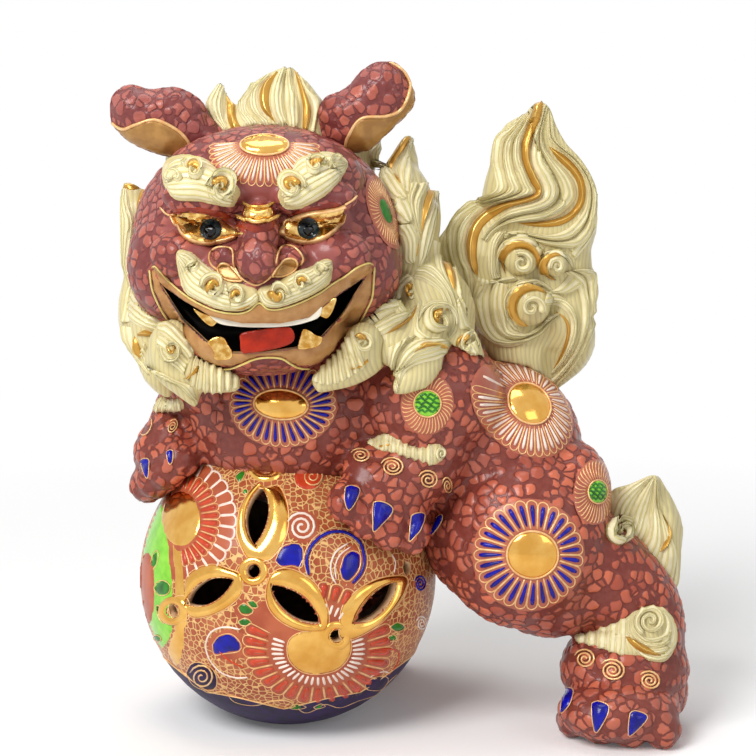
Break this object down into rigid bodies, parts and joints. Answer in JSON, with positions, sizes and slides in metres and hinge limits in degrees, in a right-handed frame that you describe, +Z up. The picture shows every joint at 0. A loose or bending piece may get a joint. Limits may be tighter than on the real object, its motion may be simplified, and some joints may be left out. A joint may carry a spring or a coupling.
{
  "type": "guardian lion ornament",
  "caption": "Glazed ceramic guardian lion, mouth open and tail raised, with both forepaws on a pierced hollow ball.",
  "frame": {"origin": "centre of the lion's bounding box, on the surface that it stands on", "axes": "+Z up, the lion's face looks to -Y and its tail is at +X"},
  "size_m": [0.2512, 0.1734, 0.2918],
  "materials": {
    "red_glaze": "glossy red brown overglaze with a mauve sheen",
    "cream_glaze": "glossy cream glaze",
    "gold_lustre": "gold lustre fired on the glaze, polished",
    "lip_glaze": "glossy tan glaze",
    "tongue_glaze": "glossy orange red enamel",
    "tooth_glaze": "glossy white glaze",
    "ball_glaze": "glossy terracotta overglaze with raised enamel lines"
  },
  "bodies": {
    "root": {"torso": "red_glaze", "left_hind_leg": "red_glaze", "right_hind_leg": "red_glaze", "left_foreleg": "red_glaze", "right_foreleg": "red_glaze", "head": "red_glaze", "left_ear": "red_glaze", "right_ear": "red_glaze", "nose": "red_glaze", "left_brow": "cream_glaze", "right_brow": "cream_glaze", "left_moustache": "cream_glaze", "right_moustache": "cream_glaze", "crown_tuft": "cream_glaze", "back_mane": "cream_glaze", "right_mane": "cream_glaze", "right_beard": "cream_glaze", "left_mane": "cream_glaze", "left_beard": "cream_glaze", "tail": "cream_glaze", "upper_tail_curl": "cream_glaze", "outer_tail_curl": "cream_glaze", "lower_tail_curl": "cream_glaze", "left_hock_tuft": "cream_glaze", "right_hock_tuft": "cream_glaze", "left_ankle_curl": "cream_glaze", "right_ankle_curl": "cream_glaze", "left_cuff": "cream_glaze", "right_cuff": "cream_glaze", "left_eye": "gold_lustre", "right_eye": "gold_lustre", "left_upper_fang": "gold_lustre", "right_upper_fang": "gold_lustre", "left_lower_fang": "gold_lustre", "right_lower_fang": "gold_lustre", "bridge_ring": "gold_lustre", "lower_jaw": "lip_glaze", "tongue": "tongue_glaze", "upper_teeth": "tooth_glaze", "ball": "ball_glaze"}
  },
  "joints": []
}
